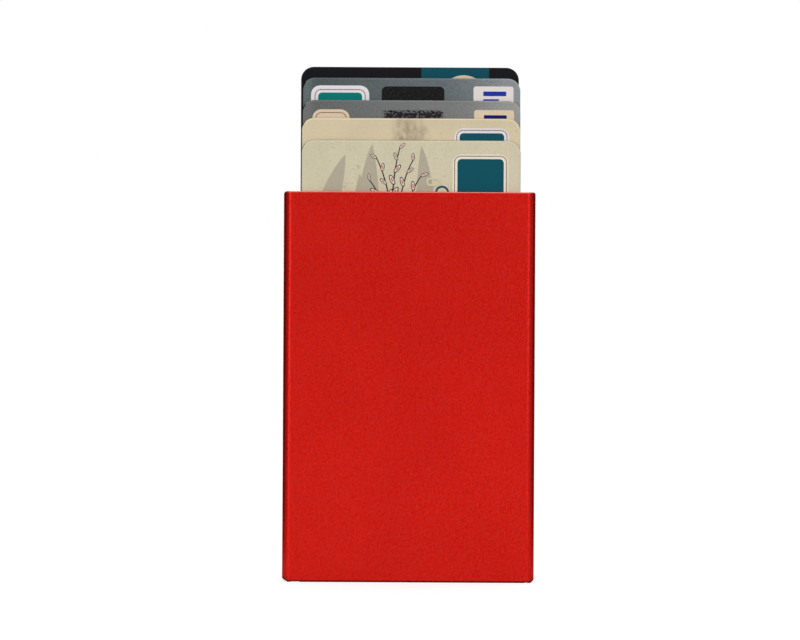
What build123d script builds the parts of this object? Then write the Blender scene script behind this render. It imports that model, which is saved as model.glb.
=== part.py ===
"""Pop up card holder: an aluminium sleeve with five standard cards and a corner thumb lever.

Millimetres. +Z is up, the way the cards rise. +X is to the right seen from the front, and the
front face looks along -Y. The origin is the middle of the bottom. The cards stand fanned out.
"""

import os
from math import acos, atan2, cos, degrees, hypot, radians, sin

from build123d import *

# Standard cards, in five lanes from the front wall to the back wall.
card_width = 53.98
card_height = 85.60
card_thickness = 0.76
card_corner_radius = 3.18
card_count = 5
lane_pitch = 1.27
lane_wall_gap = 0.125
stowed_depth = 0.60

# Contact module of a card. Its middle is measured from the short and the long card edge.
chip_width = 11.80
chip_height = 13.00
chip_corner_radius = 1.00
chip_plate = 0.20
chip_core_size = 8.00
chip_core_depth = 0.30
chip_from_short_edge = 15.10
chip_from_long_edge = 23.90
chip_groove_width = 0.22
chip_groove_depth = 0.06
chip_pad_height = 2.40

# Embossed noughts of the two front cards.
embossed_cards = (1, 2)
digit_group = 4
digit_pitch = 3.63
digit_height = 3.60
digit_width = 2.10
digit_stroke = 0.45
digit_relief = 0.22
digit_chip_gap = 0.98
digit_end_margin = 9.20

# Side channels between the cards and the sleeve.
felt_gap = 0.30
felt_thickness = 1.26
felt_side_gap = 0.35
rail_thickness = 1.40
rail_gap = 0.05
rail_top_drop = 3.00
felt_end_margin = 3.00

# Sleeve.
wall = 1.00
sleeve_corner_radius = 2.00
rim_round = 0.30
left_rim_corner_radius = 0.90
right_rim_corner_radius = 0.60
foot_notch_depth = 0.12
left_notch_margin = 2.13
left_notch_width = 2.22
right_notch_margin = 1.71
right_notch_width = 0.61
left_chamfer_run = 1.45
left_chamfer_rise = 0.85
right_chamfer_run = 0.95
right_chamfer_rise = 0.75

# End cap.
cap_gap = 0.05
floor_thickness = 2.00
barb_height = 1.00
barb_reach = 0.35
barb_rise = 4.00
barb_clearance = 0.10
barb_width = 3.60
barb_flat = 0.30
shelf_width = 2.00
shelf_wall = 1.20
rest_rib_width = 1.50
rest_rib_gap = 0.05
ear_thickness = 0.65
merge_depth = 0.30

# Lever: a bell crank on a pin in the left channel, with one stepped arm under each card.
straight_down_angle = -90.0
lever_travel_angle = 50.0
lever_floor_gap = 0.40
beam_depth = 7.00
beam_tip_rise = 3.00
beam_flat = 6.00
lever_card_gap = 0.40
lever_side_gap = 0.20
pivot_above_beam = 2.60
nose_radius = 1.20
first_lift = 13.50
lift_step = 4.50
hub_wall_gap = 0.05
hub_card_gap = 0.16
hub_length = 1.80
beam_ear_gap = 0.35
arm_relief = 0.40
pin_radius = 0.75
pin_clearance = 0.05
lever_ear_gap = 0.05

# Thumb pad on the lever's tail, and the curved slot in the back wall that it slides in.
tail_outer_radius = 11.30
tail_inner_radius = 6.50
tail_ear_gap = 0.15
tail_end_angle = 30.0
pad_start_angle = -1.5
pad_end_angle = 22.0
pad_base = 0.75
pad_ribs = 5
pad_rib_height = 0.35
pad_rib_width = 0.45
pad_corner_radius = 0.80
pad_margin = 0.55
pad_peg_radius = 0.80
pad_peg_depth = 0.90
slot_outer_gap = 0.20
slot_inner_gap = 0.40
slot_end_gap_angle = 1.5
slot_corner_radius = 0.80
slot_left_margin = 2.00

# Torsion spring round the pin.
wire_radius = 0.125
coil_clearance = 0.175
coil_whole_turns = 3
coil_pitch = 0.34
coil_hub_gap = 0.08
moving_leg_reach = 4.00
fixed_leg_rise = 3.30
spring_seat_gap = 0.02

# The photographed cards stand a little above where the lever leaves them, and a little off the
# middle, as far as the felt strips let them.
card_slacks = (0.20, 1.20, 1.20, 2.30, 0.60)
card_offsets = (0.24, 0.20, 0.25, 0.25, -0.08)

# Cuts run past the faces that they open by this much.
overrun = 1.00

side_channel = felt_gap + felt_thickness + rail_thickness + rail_gap
inner_half_width = card_width / 2 + side_channel
inner_half_thickness = card_count * lane_pitch / 2 + lane_wall_gap
sleeve_width = 2 * (inner_half_width + wall)
sleeve_thickness = 2 * (inner_half_thickness + wall)
beam_bottom = floor_thickness + lever_floor_gap
beam_top = beam_bottom + beam_depth
card_seat = beam_top + lever_card_gap
sleeve_height = card_seat + card_height + stowed_depth
hub_radius = (side_channel - hub_wall_gap - hub_card_gap) / 2
pivot_x = hub_wall_gap + hub_radius - inner_half_width
pivot_z = beam_top + pivot_above_beam
cap_half_width = inner_half_width - cap_gap
cap_half_thickness = inner_half_thickness - cap_gap
lever_half_thickness = inner_half_thickness - lever_side_gap
coil_radius = pin_radius + coil_clearance + wire_radius


def tangent_angle(across, up, side):
    """Return where on the coil a straight leg to a place beside the pivot leaves it, in degrees."""
    return degrees(atan2(up, across) + side * acos(coil_radius / hypot(across, up)))


moving_leg_end = (moving_leg_reach, wire_radius + spring_seat_gap - pivot_above_beam)
fixed_leg_end = (wire_radius + spring_seat_gap - hub_radius - hub_wall_gap, fixed_leg_rise)
coil_start = tangent_angle(*moving_leg_end, -1)
coil_end = tangent_angle(*fixed_leg_end, 1)
coil_turns = coil_whole_turns + (coil_start - coil_end) % 360 / 360
coil_length = coil_turns * coil_pitch + 2 * wire_radius
front_ear_back = ear_thickness - cap_half_thickness
hub_front = front_ear_back + coil_length + 2 * coil_hub_gap
hub_back = hub_front + hub_length
back_ear_front = hub_back + lever_ear_gap
back_ear_back = back_ear_front + ear_thickness
tail_front = back_ear_back + tail_ear_gap
ear_right = pivot_x + hub_radius
beam_left = ear_right + beam_ear_gap
seat_face = card_seat - rest_rib_gap
slot_end_angle = pad_end_angle + lever_travel_angle + slot_end_gap_angle
slot_left_gap = pivot_x - (slot_left_margin - inner_half_width - wall)


def slab(face, front, back):
    """Return a face drawn in X and Z as a solid that reaches from front to back along Y."""
    plane = Plane(origin=(0, back, 0), x_dir=(1, 0, 0), z_dir=(0, -1, 0))
    return extrude(plane * face, amount=back - front, dir=(0, -1, 0))


def block(left, right, front, back, bottom, top):
    """Return a box between six named planes."""
    box = Box(right - left, back - front, top - bottom)
    return Pos((left + right) / 2, (front + back) / 2, (bottom + top) / 2) * box


def lane(number):
    """Return the middle of a card's lane along Y, with card 1 at the front."""
    return (number - (card_count + 1) / 2) * lane_pitch


def lift(number):
    """Return how far the lever raises a card at the end of its travel."""
    return first_lift + (number - 1) * lift_step


def reach(number):
    """Return how far right of the pivot the nose under a card sits, from the lift it gives."""
    drop = pivot_above_beam + nose_radius
    travel = radians(lever_travel_angle)
    return (lift(number) - drop * (1 - cos(travel))) / sin(travel)


def card_middle(number):
    """Return the middle of a card along X as photographed."""
    return card_offsets[number - 1]


def card_bottom(number):
    """Return the height of a card's lower edge as photographed."""
    return beam_top + lift(number) + card_slacks[number - 1]


def on_tail(radius, angle):
    """Return the place at a radius and an angle from straight down, about the pivot."""
    return pivot_x + radius * sin(radians(angle)), pivot_z - radius * cos(radians(angle))


def ring_sector(inner, outer, start, end):
    """Return a ring sector about the pivot, in degrees from straight down towards +X."""
    centre = (pivot_x, pivot_z)
    outside = CenterArc(centre, outer, start + straight_down_angle, end - start)
    inside = CenterArc(centre, inner, start + straight_down_angle, end - start)
    sides = [Line(outside @ share, inside @ share) for share in (0, 1)]
    return make_face([outside, inside] + sides)


def panel(left, right, bottom, top):
    """Return a rectangle in X and Z between four named edges."""
    return Pos((left + right) / 2, (bottom + top) / 2) * Rectangle(right - left, top - bottom)


def thumb_slot():
    """Return the slot's outline: a ring sector for the pad's swing, opened to the bottom edge."""
    inner = tail_inner_radius - slot_inner_gap
    outer = tail_outer_radius + slot_outer_gap
    swing = ring_sector(inner, outer, pad_start_angle, slot_end_angle)
    swing = fillet(swing.vertices().sort_by(Axis.X)[-2:], slot_corner_radius)
    left = slot_left_margin - inner_half_width - wall
    right, mouth_top = on_tail(outer, tail_end_angle)
    shoulder = panel(left, pivot_x, -overrun, pivot_z - inner)
    shoulder = fillet(shoulder.vertices().group_by(Axis.Y)[-1].sort_by(Axis.X)[0], slot_left_gap)
    return swing + shoulder + panel(left, right, -overrun, mouth_top)


def foot_notch(side, margin, width):
    """Return a shallow notch across the lower edge, to prise the end cap out. side is -1 or 1."""
    outer = side * (sleeve_width / 2 - margin)
    inner = outer - side * width
    half = sleeve_thickness / 2 + overrun
    return block(min(outer, inner), max(outer, inner), -half, half, -overrun, foot_notch_depth)


def corner_chamfer(side, run, rise):
    """Return the wedge that bevels a bottom corner. side is -1 at the left and 1 at the right."""
    edge = side * sleeve_width / 2
    past = edge + side * overrun
    slope = rise / run
    wedge = Polygon(
        (edge - side * run, 0),
        (edge - side * (run + overrun), -slope * overrun),
        (past, -slope * overrun),
        (past, rise + slope * overrun),
        align=None,
    )
    half = sleeve_thickness / 2 + overrun
    return slab(wedge, -half, half)


def foot_waste():
    """Return what is cut from the lower edge of the sleeve and of the end cap flush with it."""
    chamfers = corner_chamfer(-1, left_chamfer_run, left_chamfer_rise)
    chamfers += corner_chamfer(1, right_chamfer_run, right_chamfer_rise)
    notches = foot_notch(-1, left_notch_margin, left_notch_width)
    notches += foot_notch(1, right_notch_margin, right_notch_width)
    return chamfers + notches


def rim_corner(side, radius):
    """Return the waste outside a rounded top corner of a narrow wall. side is -1 or 1."""
    middle = side * (sleeve_width / 2 - radius)
    past = side * (sleeve_width / 2 + overrun)
    bottom = sleeve_height - radius
    corner = panel(min(middle, past), max(middle, past), bottom, sleeve_height + overrun)
    half = sleeve_thickness / 2 + overrun
    return slab(corner - Pos(middle, bottom) * Circle(radius), -half, half)


def barb_groove(side):
    """Return the groove inside a narrow wall that the end cap's barb springs into."""
    depth = barb_reach + barb_clearance
    near = side * (inner_half_width - overrun)
    far = side * (inner_half_width + depth)
    half = barb_width / 2 + barb_clearance
    low = barb_rise - barb_clearance
    high = barb_rise + barb_height + barb_clearance
    return block(min(near, far), max(near, far), -half, half, low, high)


def make_sleeve():
    """Return the extruded sleeve with its rounded rim, thumb slot and lower edge."""
    outside = RectangleRounded(sleeve_width, sleeve_thickness, sleeve_corner_radius)
    bore = RectangleRounded(
        2 * inner_half_width, 2 * inner_half_thickness, sleeve_corner_radius - wall
    )
    tube = extrude(outside - bore, amount=sleeve_height)
    tube = fillet(tube.edges().group_by(Axis.Z)[-1], rim_round)
    tube -= slab(thumb_slot(), inner_half_thickness - lane_wall_gap, sleeve_thickness / 2 + overrun)
    tube -= rim_corner(-1, left_rim_corner_radius) + rim_corner(1, right_rim_corner_radius)
    tube -= foot_waste()
    tube -= barb_groove(-1) + barb_groove(1)
    return tube


def ear_outline():
    """Return an ear: an upright with a round top about the pivot, bored for the pin."""
    width = 2 * hub_radius
    height = pivot_z - floor_thickness + overrun
    upright = Pos(pivot_x, pivot_z - height / 2) * Rectangle(width, height)
    return upright + Pos(pivot_x, pivot_z) * Circle(hub_radius)


def cap_plan():
    """Return the end cap's outline inside the bore, seen from above."""
    corner = sleeve_corner_radius - wall
    return RectangleRounded(2 * cap_half_width, 2 * cap_half_thickness, corner)


def cap_plate():
    """Return the plate that closes the bore, cut away behind for the lever's tail."""
    return extrude(cap_plan(), amount=floor_thickness) - foot_waste() - floor_slot()


def floor_slot():
    """Return the space behind the ears that the tail and the thumb pad swing through."""
    right = on_tail(tail_outer_radius + slot_outer_gap, slot_end_angle)[0]
    top = floor_thickness + overrun
    return block(-sleeve_width, right, back_ear_back, sleeve_thickness, -overrun, top)


def cap_shelf():
    """Return the hollow block at the right that stowed cards stand on."""
    left = card_width / 2 - shelf_width
    half = cap_half_thickness
    body = block(left, cap_half_width, -half, half, floor_thickness - merge_depth, seat_face)
    body = fillet(body.edges().filter_by(Axis.Z).group_by(Axis.X)[-1], sleeve_corner_radius - wall)
    pocket = block(
        left - overrun, cap_half_width - shelf_wall, shelf_wall - half, half - shelf_wall,
        floor_thickness, seat_face - shelf_wall,
    )
    return body - pocket


def barb(side, front, back):
    """Return a barb on the cap's left or right end: flat below, with a ramp that goes in first."""
    root = side * (cap_half_width - merge_depth)
    face = side * cap_half_width
    tip = side * (cap_half_width + barb_reach)
    wedge = Polygon(
        (root, barb_rise),
        (tip, barb_rise),
        (tip, barb_rise + barb_flat),
        (face, barb_rise + barb_height),
        (root, barb_rise + barb_height),
        align=None,
    )
    return slab(wedge, front, back)


def make_end_cap():
    """Return the moulded base with its pin ears, rest rib, card shelf and barbs."""
    ear = ear_outline()
    cap = cap_plate() + cap_shelf()
    bore_space = extrude(cap_plan(), amount=sleeve_height)
    cap += slab(ear, -cap_half_thickness, front_ear_back) & bore_space
    cap += slab(ear, back_ear_front, back_ear_back)
    rib_left = beam_left + beam_flat / 2
    cap += block(
        rib_left, rib_left + rest_rib_width, -lever_half_thickness, back_ear_front,
        floor_thickness - merge_depth, beam_bottom - rest_rib_gap,
    )
    cap += barb(-1, back_ear_front, back_ear_back)
    cap += barb(1, -barb_width / 2, barb_width / 2)
    pin_hole = Pos(pivot_x, pivot_z) * Circle(pin_radius)
    return cap - slab(pin_hole, -sleeve_thickness, sleeve_thickness)


def arm_layer(number):
    """Return the lever's flat arm under one card, ending in its round nose."""
    tip = pivot_x + reach(number) + nose_radius
    longest = pivot_x + reach(card_count) + nose_radius
    bend = beam_left + beam_flat
    tip_bottom = beam_bottom + beam_tip_rise * (tip - bend) / (longest - bend)
    outline = Polygon(
        (beam_left, beam_bottom),
        (bend, beam_bottom),
        (tip, tip_bottom),
        (tip, beam_top),
        (beam_left, beam_top),
        align=None,
    )
    corner = outline.vertices().sort_by(Axis.X).group_by(Axis.Y)[-1].sort_by(Axis.X)[-1]
    outline = fillet(corner, nose_radius)
    front = max(lane(number) - lane_pitch / 2, -lever_half_thickness)
    back = min(lane(number) + lane_pitch / 2, lever_half_thickness)
    return slab(outline, front, back)


def lever_crank():
    """Return the hub on the pin and the narrow crank that carries the arms."""
    left = pivot_x - hub_radius
    crank = Polygon(
        (left, pivot_z),
        (left + arm_relief, beam_bottom),
        (beam_left, beam_bottom),
        (beam_left, beam_top),
        (ear_right, beam_top + arm_relief),
        (ear_right, pivot_z),
        align=None,
    )
    outline = crank + Pos(pivot_x, pivot_z) * Circle(hub_radius)
    return slab(outline, hub_front, hub_back)


def make_ejector_lever():
    """Return the lever as one moulding: crank, five stepped arms and the tail for the thumb pad."""
    lever = lever_crank()
    for number in range(1, card_count + 1):
        lever += arm_layer(number)
    tail = ring_sector(tail_inner_radius, tail_outer_radius, pad_start_angle, tail_end_angle)
    lever += slab(tail, tail_front, lever_half_thickness)
    lever -= slab(pad_peg(), lever_half_thickness - pad_peg_depth, sleeve_thickness)
    bore = Pos(pivot_x, pivot_z) * Circle(pin_radius + pin_clearance)
    return lever - slab(bore, -sleeve_thickness, sleeve_thickness)


def pad_peg():
    """Return the round peg that fixes the thumb pad in the tail."""
    middle = (tail_inner_radius + tail_outer_radius) / 2
    return Pos(*on_tail(middle, (pad_start_angle + pad_end_angle) / 2)) * Circle(pad_peg_radius)


def make_thumb_pad():
    """Return the ribbed pad that the thumb pushes along the slot."""
    face = ring_sector(tail_inner_radius, tail_outer_radius, pad_start_angle, pad_end_angle)
    base = slab(
        fillet(face.vertices(), pad_corner_radius), lever_half_thickness,
        lever_half_thickness + pad_base,
    )
    pad = base + slab(pad_peg(), lever_half_thickness - pad_peg_depth, lever_half_thickness + pad_base)
    rib_top = lever_half_thickness + pad_base + pad_rib_height
    rib_length = tail_outer_radius - tail_inner_radius - 2 * pad_margin
    middle = (tail_inner_radius + tail_outer_radius) / 2
    for rib in range(pad_ribs):
        angle = pad_start_angle + (rib + 1) * (pad_end_angle - pad_start_angle) / (pad_ribs + 1)
        place = Pos(*on_tail(middle, angle)) * Rot(0, 0, angle)
        outline = place * SlotOverall(rib_length, pad_rib_width, rotation=90)
        pad += slab(outline, lever_half_thickness, rib_top)
    return pad


def make_pivot_pin():
    """Return the steel pin that the lever turns on, held in both ears."""
    return slab(Pos(pivot_x, pivot_z) * Circle(pin_radius), -cap_half_thickness, back_ear_back)


def make_return_spring():
    """Return the torsion spring: a coil round the pin, a leg on the lever and a leg on the wall."""
    back = hub_front - coil_hub_gap - wire_radius
    start = radians(coil_start)
    turned = Plane(
        origin=(pivot_x, back, pivot_z), x_dir=(cos(start), 0, sin(start)), z_dir=(0, -1, 0)
    )
    coil = turned * Helix(coil_pitch, coil_turns * coil_pitch, coil_radius, lefthand=True)
    moving_length = (hypot(*moving_leg_end) ** 2 - coil_radius**2) ** 0.5
    fixed_length = (hypot(*fixed_leg_end) ** 2 - coil_radius**2) ** 0.5
    moving = Line(coil @ 0 - (coil % 0) * moving_length, coil @ 0)
    fixed = Line(coil @ 1, coil @ 1 + (coil % 1) * fixed_length)
    path = Wire([moving, coil, fixed])
    profile = Plane(origin=path @ 0, z_dir=path % 0) * Circle(wire_radius)
    return sweep(profile, path=path, is_frenet=True)


def make_rail(side, bottom):
    """Return a side liner that stands against a narrow wall. side is -1 or 1."""
    near = side * (inner_half_width - rail_gap - rail_thickness)
    far = side * (inner_half_width - rail_gap)
    half = inner_half_thickness - rail_gap
    top = sleeve_height - rail_top_drop
    rail = block(min(near, far), max(near, far), -half, half, bottom, top)
    outer_edges = rail.edges().filter_by(Axis.Z).group_by(Axis.X)[-1 if side > 0 else 0]
    return fillet(outer_edges, sleeve_corner_radius - wall)


def make_felt_strip(side, bottom):
    """Return a felt strip on a rail, which grips the cards' long edges. side is -1 or 1."""
    near = side * (card_width / 2 + felt_gap)
    far = side * (card_width / 2 + felt_gap + felt_thickness)
    half = inner_half_thickness - felt_side_gap
    top = sleeve_height - rail_top_drop - felt_end_margin
    return block(min(near, far), max(near, far), -half, half, bottom + felt_end_margin, top)


def chip_middle(number):
    """Return the middle of a card's contact module in X and Z."""
    across = card_middle(number) + chip_from_long_edge - card_width / 2
    return across, card_bottom(number) + chip_from_short_edge


def chip_solid(number, core_size):
    """Return the stepped contact module in its card, with a core of the given size."""
    front = lane(number) - card_thickness / 2
    place = Pos(*chip_middle(number))
    plate = slab(
        place * RectangleRounded(chip_width, chip_height, chip_corner_radius), front,
        front + chip_plate,
    )
    core = slab(
        place * RectangleRounded(core_size, core_size, chip_corner_radius), front,
        front + chip_plate + chip_core_depth,
    )
    return plate + core


def make_chip(number):
    """Return a contact module with the grooves that part its contacts."""
    x, z = chip_middle(number)
    front = lane(number) - card_thickness / 2
    grooves = Rectangle(chip_groove_width, chip_height - 2 * chip_corner_radius)
    for row in (-1, 0, 1):
        grooves += Pos(0, row * chip_pad_height) * Rectangle(chip_width, chip_groove_width)
    grooves += RectangleRounded(
        chip_pad_height, chip_height / 2, chip_corner_radius
    ) - RectangleRounded(
        chip_pad_height - 2 * chip_groove_width, chip_height / 2 - 2 * chip_groove_width,
        chip_corner_radius - chip_groove_width,
    )
    return chip_solid(number, chip_core_size) - slab(
        Pos(x, z) * grooves, front - overrun, front + chip_groove_depth
    )


def embossed_noughts(number):
    """Return the raised line of noughts on a card's front, in groups, reading up the card."""
    nought = SlotOverall(digit_height, digit_width)
    nought -= SlotOverall(digit_height - 2 * digit_stroke, digit_width - 2 * digit_stroke)
    x = chip_middle(number)[0] + chip_width / 2 + digit_chip_gap + digit_height / 2
    top = card_bottom(number) + card_height - digit_end_margin - digit_width / 2
    steps = int((card_height - 2 * digit_end_margin) / digit_pitch) + 1
    row = Sketch()
    for step in range(steps):
        if step % (digit_group + 1) < digit_group:
            row += Pos(x, top - step * digit_pitch) * nought
    front = lane(number) - card_thickness / 2
    return slab(row, front - digit_relief, front + digit_relief)


def make_card(number):
    """Return a card with its module's pocket, and raised noughts where it is embossed."""
    middle = Pos(card_middle(number), card_bottom(number) + card_height / 2)
    outline = middle * RectangleRounded(card_width, card_height, card_corner_radius)
    half = card_thickness / 2
    card = slab(outline, lane(number) - half, lane(number) + half)
    card -= chip_solid(number, chip_core_size)
    if number in embossed_cards:
        card += embossed_noughts(number)
    return card


left_rail_bottom = pivot_z + fixed_leg_rise + coil_pitch
pieces = {
    "sleeve": make_sleeve(),
    "end_cap": make_end_cap(),
    "ejector_lever": make_ejector_lever(),
    "thumb_pad": make_thumb_pad(),
    "pivot_pin": make_pivot_pin(),
    "return_spring": make_return_spring(),
    "left_rail": make_rail(-1, left_rail_bottom),
    "right_rail": make_rail(1, seat_face),
    "left_felt_strip": make_felt_strip(-1, left_rail_bottom),
    "right_felt_strip": make_felt_strip(1, seat_face),
}
for number in range(1, card_count + 1):
    pieces[f"card_{number}"] = make_card(number)
    pieces[f"card_{number}_chip"] = make_chip(number)

os.makedirs("parts", exist_ok=True)
for name, piece in pieces.items():
    export_step(piece, f"parts/{name}.step")
    print(name, "volume", round(piece.volume, 2))
print("sleeve", sleeve_width, "x", sleeve_thickness, "x", sleeve_height)
print("pivot", pivot_x, pivot_z, "lane pitch", lane_pitch)
for number in range(1, card_count + 1):
    print("card", number, "bottom", card_bottom(number), "reach", round(reach(number), 3))
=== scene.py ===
# %% [markdown]
# # A pop up card holder, dressed step by step
# The real object is a slim anodised aluminium sleeve with five bank cards standing out of it in
# a staircase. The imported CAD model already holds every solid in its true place, so this lesson
# adds what a solid can't say: finishes, printed inks, felt fibres, lamps and a camera. The CAD
# nodes are kept wherever their shape is right, because a copy could only drift away from them.

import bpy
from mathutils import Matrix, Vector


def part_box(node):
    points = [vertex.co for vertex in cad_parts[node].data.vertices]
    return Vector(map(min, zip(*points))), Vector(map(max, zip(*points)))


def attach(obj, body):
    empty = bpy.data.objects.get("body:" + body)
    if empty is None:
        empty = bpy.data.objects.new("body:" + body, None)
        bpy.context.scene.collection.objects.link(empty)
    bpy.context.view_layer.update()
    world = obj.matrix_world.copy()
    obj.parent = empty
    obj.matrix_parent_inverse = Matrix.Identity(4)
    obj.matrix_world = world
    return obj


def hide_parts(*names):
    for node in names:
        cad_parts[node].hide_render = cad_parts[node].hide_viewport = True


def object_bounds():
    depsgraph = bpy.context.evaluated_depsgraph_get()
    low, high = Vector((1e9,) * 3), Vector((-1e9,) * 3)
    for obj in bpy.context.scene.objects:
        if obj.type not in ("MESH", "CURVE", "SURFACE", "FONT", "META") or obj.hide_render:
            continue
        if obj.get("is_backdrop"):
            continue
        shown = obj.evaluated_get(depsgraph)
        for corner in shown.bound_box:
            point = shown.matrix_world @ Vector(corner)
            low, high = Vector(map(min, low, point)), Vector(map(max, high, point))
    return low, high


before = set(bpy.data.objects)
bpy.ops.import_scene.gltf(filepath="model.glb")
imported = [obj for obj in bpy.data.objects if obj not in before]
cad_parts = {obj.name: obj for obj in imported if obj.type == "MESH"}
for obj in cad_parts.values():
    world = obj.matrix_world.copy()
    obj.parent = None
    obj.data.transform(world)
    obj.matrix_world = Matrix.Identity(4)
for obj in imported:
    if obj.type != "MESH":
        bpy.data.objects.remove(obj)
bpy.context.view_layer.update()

# %% [markdown]
# ## Sizes first
# Everything below is written in millimetres, because that is how a card or a label is measured
# at the bench, and is scaled to Blender's metres in one place. Each card's front face is found
# from its back face and the standard card thickness, since raised figures stand out of the
# front of two cards and would shift a plain bounding box.

# %% Measure the cards and the sleeve
import math

import bmesh
import bpy
from mathutils import Euler, Matrix, Vector, noise

MM = 0.001
CARDS = (1, 2, 3, 4, 5)
CARD_THICKNESS = 0.76
card_top, card_back, card_front, card_middle = {}, {}, {}, {}
for number in CARDS:
    low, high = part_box(f"card_{number}")
    card_top[number] = high.z / MM
    card_back[number] = high.y / MM
    card_front[number] = card_back[number] - CARD_THICKNESS
    card_middle[number] = (low.x + high.x) / 2 / MM
    print("card", number, "ends at", round(card_top[number], 2), "mm")

# %% [markdown]
# ## A pen for node trees
# A finish is a small sum: two noises, a mask and a few products. Clicked together by hand that
# is a page of noodles, so one class wraps a socket and lets Python's own operators place the
# Math nodes. The reflected forms make `1 - mask` work as well as `mask - 1`. Every other kind
# of node comes from one method, which sets the node's settings before its sockets, because a
# setting such as a Mix node's data type decides which sockets there are. Sockets are found by
# identifier: a Mix node has four sockets called A, but only one called A_Color.

# %% The Wire class
class Wire:
    """A socket of a node tree. Arithmetic on it adds Math nodes. Without a socket it is a pen."""

    def __init__(self, tree, socket=None):
        self.tree = tree
        self.socket = socket

    def add(self, kind, sockets=None, output=None, **settings):
        """Add any node: its settings first, then the values or links of its sockets."""
        node = self.tree.nodes.new(kind)
        for name, value in settings.items():
            setattr(node, name, value)
        inputs = {socket.identifier: socket for socket in node.inputs}
        for name, value in (sockets or {}).items():
            if isinstance(value, Wire):
                self.tree.links.new(value.socket, inputs[name])
            else:
                inputs[name].default_value = value
        outputs = {socket.identifier: socket for socket in node.outputs}
        first = node.outputs[0] if node.outputs else None
        return Wire(self.tree, outputs[output] if output else first)

    def maths(self, operation, *values):
        sockets = dict(zip(("Value", "Value_001"), values))
        return self.add("ShaderNodeMath", sockets, operation=operation)

    def __add__(self, other):
        return self.maths("ADD", self, other)

    def __sub__(self, other):
        return self.maths("SUBTRACT", self, other)

    def __rsub__(self, other):
        return self.maths("SUBTRACT", other, self)

    def __mul__(self, other):
        return self.maths("MULTIPLY", self, other)

    def __pow__(self, other):
        return self.maths("POWER", self, other)

    def __abs__(self):
        return self.maths("ABSOLUTE", self)

    __radd__ = __add__
    __rmul__ = __mul__


def pen_for(owner):
    """Clear the nodes of a world or a material, and return a pen for its tree."""
    owner.use_nodes = True
    owner.node_tree.nodes.clear()
    return Wire(owner.node_tree)


print("Wire adds one Math node for each of", "+ - * **")

# %% [markdown]
# ## Helpers that finishes share
# `fade` is the workhorse of every mask: it rises smoothly from 0 to 1 between two values, or
# falls if they are given the other way round. `blend` mixes two colours through a Mix node,
# because a Math node would turn them grey. Colours are written as the eye reads them, 0 to 255
# on a screen, and turned into the linear values that light needs.

# %% Masks and colours
def fade(value, start, end):
    """Return 0 before start and 1 after end, with a smooth rise between."""
    if start > end:
        return 1 - fade(value, end, start)
    bounds = {"Value": value, "From Min": start, "From Max": end}
    return value.add("ShaderNodeMapRange", bounds, "Result", interpolation_type="SMOOTHSTEP")


def blend(share, first, second):
    """Return a colour that goes from the first to the second as share goes from 0 to 1."""
    sockets = {"Factor_Float": share, "A_Color": first, "B_Color": second}
    return share.add("ShaderNodeMix", sockets, "Result_Color", data_type="RGBA")


def colour(red, green, blue):
    """Return a screen colour as the linear values that Blender's sockets take."""
    shares = (red / 255, green / 255, blue / 255)
    linear = [s / 12.92 if s <= 0.04045 else ((s + 0.055) / 1.055) ** 2.4 for s in shares]
    return (*linear, 1.0)


def shade(tone, share):
    """Return a screen colour made darker or lighter by a share."""
    return colour(*[min(255, share * channel) for channel in tone])


def scaled(vector, share):
    """Return a colour or vector wire times a share, which may change over the surface."""
    sockets = {"Vector": vector, "Scale": share}
    return vector.add("ShaderNodeVectorMath", sockets, "Vector", operation="SCALE")


print("mid grey is", [round(channel, 3) for channel in colour(128, 128, 128)])

# %% Split a place into axes, and read noise at it
def parts(vector):
    """Split a vector wire into its X, Y and Z wires."""
    return [vector.add("ShaderNodeSeparateXYZ", {"Vector": vector}, axis) for axis in "XYZ"]


def from_parts(pen, x, y, z):
    """Join X, Y and Z, each a wire or a number, into a vector wire."""
    return pen.add("ShaderNodeCombineXYZ", {"X": x, "Y": y, "Z": z})


def grain(place, size, detail=2.0, stretch=(1, 1, 1), shift=0.0):
    """Return noise from 0 to 1 with spots of a size in millimetres, stretched along the axes."""
    scale = [share / size for share in stretch]
    sockets = {"Vector": place, "Scale": scale, "Location": (shift, shift, shift)}
    mapped = place.add("ShaderNodeMapping", sockets)
    return place.add("ShaderNodeTexNoise", {"Vector": mapped, "Scale": 1.0, "Detail": detail})


print("a noise of size 0.22 has scale", round(1 / 0.22, 2), "per mm")

# %% [markdown]
# ## The camera
# The photograph is a product shot taken straight on, about 0.7 m away with a long lens: the
# cards keep almost the same width as the sleeve in front of them. Its middle is 64 mm above the
# foot, and the object leans 0.3 of a degree in the frame. A longer lens further away was
# tried on paper, but then the rear cards would look as wide as the front one, which they don't.

# %% Place the camera
CAMERA_PLACE = (-2.25, -704.3, 64.45)
CAMERA_LENS = 128.25
CAMERA_LEAN_ANGLE = 0.3


def linked(name, data):
    """Return a new object of this data, linked to the scene."""
    item = bpy.data.objects.new(name, data)
    bpy.context.collection.objects.link(item)
    return item


camera_data = bpy.data.cameras.new("photo_camera")
camera_data.lens = CAMERA_LENS
camera_data.clip_start = 0.01
camera = linked("photo_camera", camera_data)
camera.location = Vector(CAMERA_PLACE) * MM
camera.rotation_euler = (math.radians(90), 0, 0)
camera.rotation_euler.rotate_axis("Z", math.radians(CAMERA_LEAN_ANGLE))
bpy.context.scene.camera = camera
bpy.context.scene.view_settings.view_transform = "Standard"
print("camera", CAMERA_PLACE, "mm, lens", CAMERA_LENS)

# %% [markdown]
# ## A white studio
# Metal shows its surroundings more than itself, so the studio is part of the look. The world is
# plain light from all sides, and is pure white where the camera, a mirror or glass looks at it.
# Light Path tells these rays from the rest, so the white background costs the object no extra
# light. A brighter world would do it too, but would bleach the cards.

# %% Light the world
WHITE = (1.0, 1.0, 1.0, 1.0)
WORLD_LEVEL = 0.78
LOOKING_RAYS = ("Is Camera Ray", "Is Glossy Ray", "Is Transmission Ray")


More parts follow.
